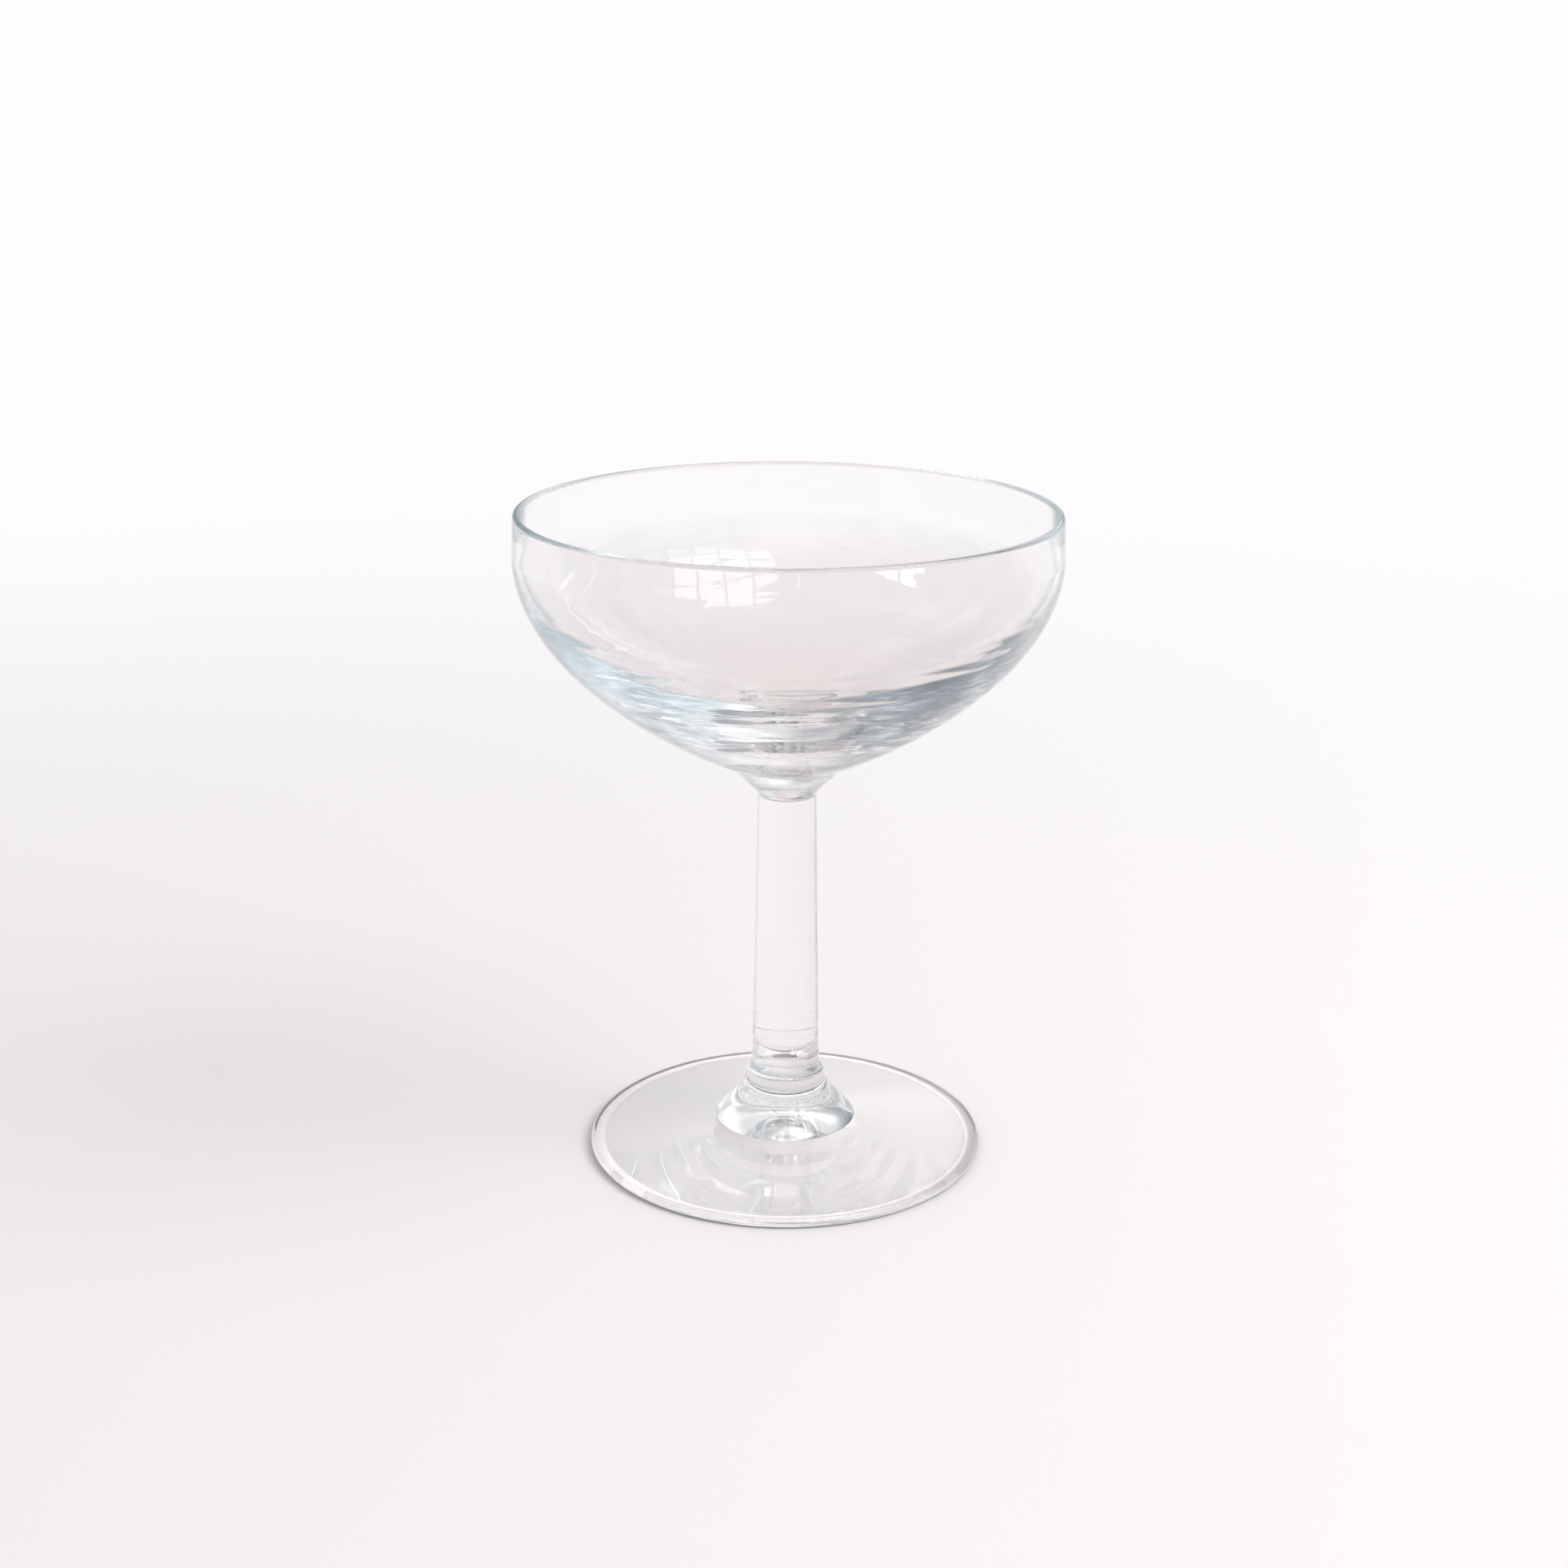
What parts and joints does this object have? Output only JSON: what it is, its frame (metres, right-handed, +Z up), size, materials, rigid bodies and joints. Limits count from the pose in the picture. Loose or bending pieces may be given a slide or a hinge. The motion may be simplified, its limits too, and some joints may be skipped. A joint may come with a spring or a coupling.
{
  "type": "champagne coupe",
  "caption": "Stemmed drinking glass with a wide, shallow, heavy-based bowl, a flared collar, a slim stem and a round foot, for sparkling wine and cocktails.",
  "frame": {"origin": "centre of the foot's underside, on the surface that the glass stands on", "axes": "+Z up along the axis of the stem, +X and +Y across the glass"},
  "size_m": [0.0962, 0.0962, 0.12],
  "materials": {
    "bowl_glass": "clear soda-lime glass, glossy, with soft horizontal ripples in the heavy base and a fire-polished rim",
    "collar_glass": "clear soda-lime glass, glossy, faint blue-green cast where it is thick",
    "stem_glass": "clear soda-lime glass, glossy and nearly colourless, with long soft draw lines",
    "boss_glass": "clear pressed soda-lime glass, glossy, with a mould seam and a faint blue-green cast",
    "foot_glass": "clear pressed soda-lime glass, glossy, with a soft fire-polished edge"
  },
  "bodies": {
    "root": {"bowl": "bowl_glass", "collar": "collar_glass", "stem": "stem_glass", "foot_boss": "boss_glass", "foot_disc": "foot_glass"}
  },
  "joints": []
}
